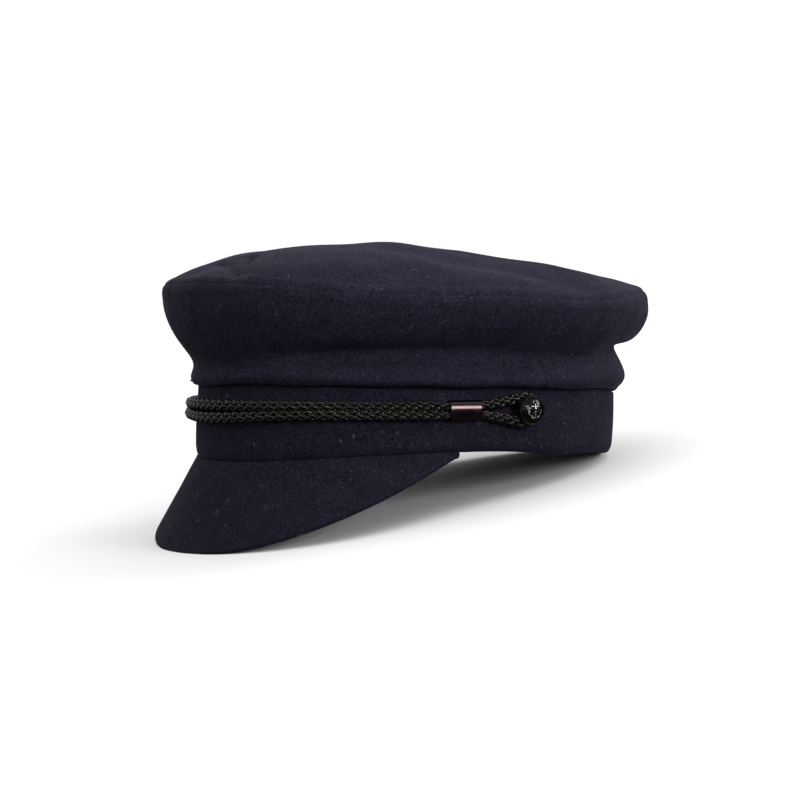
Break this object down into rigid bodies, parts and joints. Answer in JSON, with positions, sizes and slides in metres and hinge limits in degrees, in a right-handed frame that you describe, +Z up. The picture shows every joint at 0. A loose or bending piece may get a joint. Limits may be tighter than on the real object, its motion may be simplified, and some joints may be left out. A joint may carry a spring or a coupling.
{
  "type": "breton fisherman cap",
  "caption": "Soft wool cap with a full crown on a stiff band, a curved peak and a doubled braided cord held by sleeves and domed buttons.",
  "frame": {"origin": "centre of the bounding box in plan, at the surface that the cap stands on", "axes": "+Z up, -Y towards the peak, +X towards the wearer's left; the cap stands tipped back by 10 degrees on its peak's edge and the back of its band"},
  "size_m": [0.2074, 0.2596, 0.128],
  "materials": {
    "wool_cloth": "milled melton wool, midnight navy",
    "braided_cord": "round braid, black, slight sheen",
    "black_nickel": "polished black nickel",
    "black_button": "gloss black, moulded relief"
  },
  "bodies": {
    "root": {"crown_top": "wool_cloth", "crown_front_wall": "wool_cloth", "crown_back_wall": "wool_cloth", "band": "wool_cloth", "peak": "wool_cloth", "cord": "braided_cord", "sleeve_left": "black_nickel", "sleeve_right": "black_nickel", "button_left": "black_button", "button_right": "black_button"}
  },
  "joints": []
}
